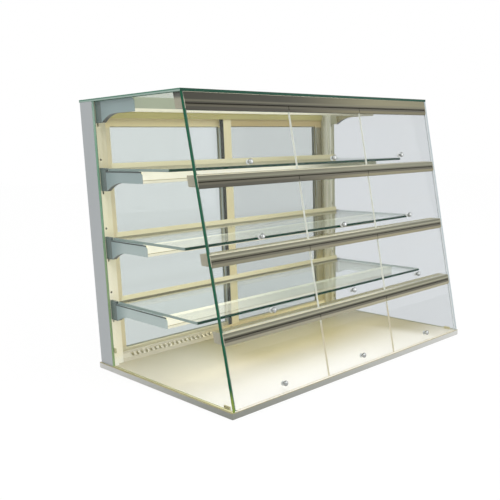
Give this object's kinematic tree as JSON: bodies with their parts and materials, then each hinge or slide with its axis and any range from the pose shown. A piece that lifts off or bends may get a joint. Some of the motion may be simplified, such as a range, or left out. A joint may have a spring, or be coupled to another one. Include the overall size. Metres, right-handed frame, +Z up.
{
  "type": "countertop bread display bin",
  "caption": "Tiered glazed bakery display for a shop counter, with glass shelves, lift-up clear flaps on a leaning front and sliding rear doors.",
  "frame": {"origin": "centre of the underside of the base, on the counter", "axes": "+X to the right along the width, seen from the customers' side, +Y to the rear doors, +Z up"},
  "size_m": [1.1, 0.6836, 0.856],
  "materials": {
    "grey_enamel": "satin",
    "cream_enamel": "satin",
    "grey_anodised": "brushed",
    "champagne_anodised": "satin",
    "mill_aluminium": "satin",
    "cap_plastic": "satin",
    "bracket_enamel": "satin",
    "hook_enamel": "satin",
    "bar_enamel": "satin",
    "diffuser_plastic": "matte",
    "clear_glass": "polished",
    "clear_acrylic": "polished",
    "clip_plastic": "matte"
  },
  "bodies": {
    "cabinet": {"base_tray": "grey_enamel", "base_stiffeners": "mill_aluminium", "deck_sheet": "cream_enamel", "rear_vent_sill": "cream_enamel", "left_post": "grey_anodised", "right_post": "grey_anodised", "left_upright": "cream_enamel", "right_upright": "cream_enamel", "header_rail": "cream_enamel", "top_door_track": "mill_aluminium", "bottom_door_track": "mill_aluminium", "left_side_glass": "clear_glass", "right_side_glass": "clear_glass", "top_glass": "clear_glass", "upper_shelf_glass": "clear_glass", "middle_shelf_glass": "clear_glass", "lower_shelf_glass": "clear_glass", "shelf_rear_strips": "cream_enamel", "top_front_rail": "champagne_anodised", "upper_front_rail": "champagne_anodised", "middle_front_rail": "champagne_anodised", "lower_front_rail": "champagne_anodised", "rail_end_caps": "cap_plastic", "left_brackets": "bracket_enamel", "right_brackets": "bracket_enamel", "bracket_hooks": "hook_enamel", "top_light_bar": "bar_enamel", "upper_light_bar": "bar_enamel", "middle_light_bar": "bar_enamel", "lower_light_bar": "bar_enamel", "light_diffusers": "diffuser_plastic", "side_glass_clips": "clip_plastic"},
    "top_left_flap": {"top_left_flap_pane": "clear_acrylic", "top_left_hinge_strip_and_knob": "champagne_anodised"},
    "top_centre_flap": {"top_centre_flap_pane": "clear_acrylic", "top_centre_hinge_strip_and_knob": "champagne_anodised"},
    "top_right_flap": {"top_right_flap_pane": "clear_acrylic", "top_right_hinge_strip_and_knob": "champagne_anodised"},
    "upper_left_flap": {"upper_left_flap_pane": "clear_acrylic", "upper_left_hinge_strip_and_knob": "champagne_anodised"},
    "upper_centre_flap": {"upper_centre_flap_pane": "clear_acrylic", "upper_centre_hinge_strip_and_knob": "champagne_anodised"},
    "upper_right_flap": {"upper_right_flap_pane": "clear_acrylic", "upper_right_hinge_strip_and_knob": "champagne_anodised"},
    "middle_left_flap": {"middle_left_flap_pane": "clear_acrylic", "middle_left_hinge_strip_and_knob": "champagne_anodised"},
    "middle_centre_flap": {"middle_centre_flap_pane": "clear_acrylic", "middle_centre_hinge_strip_and_knob": "champagne_anodised"},
    "middle_right_flap": {"middle_right_flap_pane": "clear_acrylic", "middle_right_hinge_strip_and_knob": "champagne_anodised"},
    "lower_left_flap": {"lower_left_flap_pane": "clear_acrylic", "lower_left_hinge_strip_and_knob": "champagne_anodised"},
    "lower_centre_flap": {"lower_centre_flap_pane": "clear_acrylic", "lower_centre_hinge_strip_and_knob": "champagne_anodised"},
    "lower_right_flap": {"lower_right_flap_pane": "clear_acrylic", "lower_right_hinge_strip_and_knob": "champagne_anodised"},
    "left_door": {"left_door_frame": "cream_enamel", "left_door_glass": "clear_glass"},
    "right_door": {"right_door_frame": "cream_enamel", "right_door_glass": "clear_glass"}
  },
  "joints": [
    {"name": "top_left_flap_hinge", "type": "hinge", "parent": "cabinet", "child": "top_left_flap", "pos_m": [-0.349, -0.18488, 0.8148], "axis": [-1, 0, 0], "range_deg": [0, 90]},
    {"name": "top_centre_flap_hinge", "type": "hinge", "parent": "cabinet", "child": "top_centre_flap", "pos_m": [0, -0.18488, 0.8148], "axis": [-1, 0, 0], "range_deg": [0, 90]},
    {"name": "top_right_flap_hinge", "type": "hinge", "parent": "cabinet", "child": "top_right_flap", "pos_m": [0.349, -0.18488, 0.8148], "axis": [-1, 0, 0], "range_deg": [0, 90]},
    {"name": "upper_left_flap_hinge", "type": "hinge", "parent": "cabinet", "child": "upper_left_flap", "pos_m": [-0.349, -0.22239, 0.6144], "axis": [-1, 0, 0], "range_deg": [0, 90]},
    {"name": "upper_centre_flap_hinge", "type": "hinge", "parent": "cabinet", "child": "upper_centre_flap", "pos_m": [0, -0.22239, 0.6144], "axis": [-1, 0, 0], "range_deg": [0, 90]},
    {"name": "upper_right_flap_hinge", "type": "hinge", "parent": "cabinet", "child": "upper_right_flap", "pos_m": [0.349, -0.22239, 0.6144], "axis": [-1, 0, 0], "range_deg": [0, 90]},
    {"name": "middle_left_flap_hinge", "type": "hinge", "parent": "cabinet", "child": "middle_left_flap", "pos_m": [-0.349, -0.26075, 0.4094], "axis": [-1, 0, 0], "range_deg": [0, 90]},
    {"name": "middle_centre_flap_hinge", "type": "hinge", "parent": "cabinet", "child": "middle_centre_flap", "pos_m": [0, -0.26075, 0.4094], "axis": [-1, 0, 0], "range_deg": [0, 90]},
    {"name": "middle_right_flap_hinge", "type": "hinge", "parent": "cabinet", "child": "middle_right_flap", "pos_m": [0.349, -0.26075, 0.4094], "axis": [-1, 0, 0], "range_deg": [0, 90]},
    {"name": "lower_left_flap_hinge", "type": "hinge", "parent": "cabinet", "child": "lower_left_flap", "pos_m": [-0.349, -0.29912, 0.2044], "axis": [-1, 0, 0], "range_deg": [0, 90]},
    {"name": "lower_centre_flap_hinge", "type": "hinge", "parent": "cabinet", "child": "lower_centre_flap", "pos_m": [0, -0.29912, 0.2044], "axis": [-1, 0, 0], "range_deg": [0, 90]},
    {"name": "lower_right_flap_hinge", "type": "hinge", "parent": "cabinet", "child": "lower_right_flap", "pos_m": [0.349, -0.29912, 0.2044], "axis": [-1, 0, 0], "range_deg": [0, 90]},
    {"name": "left_door_slide", "type": "slide", "parent": "cabinet", "child": "left_door", "axis": [1, 0, 0], "range_m": [0, 0.478]},
    {"name": "right_door_slide", "type": "slide", "parent": "cabinet", "child": "right_door", "axis": [-1, 0, 0], "range_m": [0, 0.478]}
  ]
}
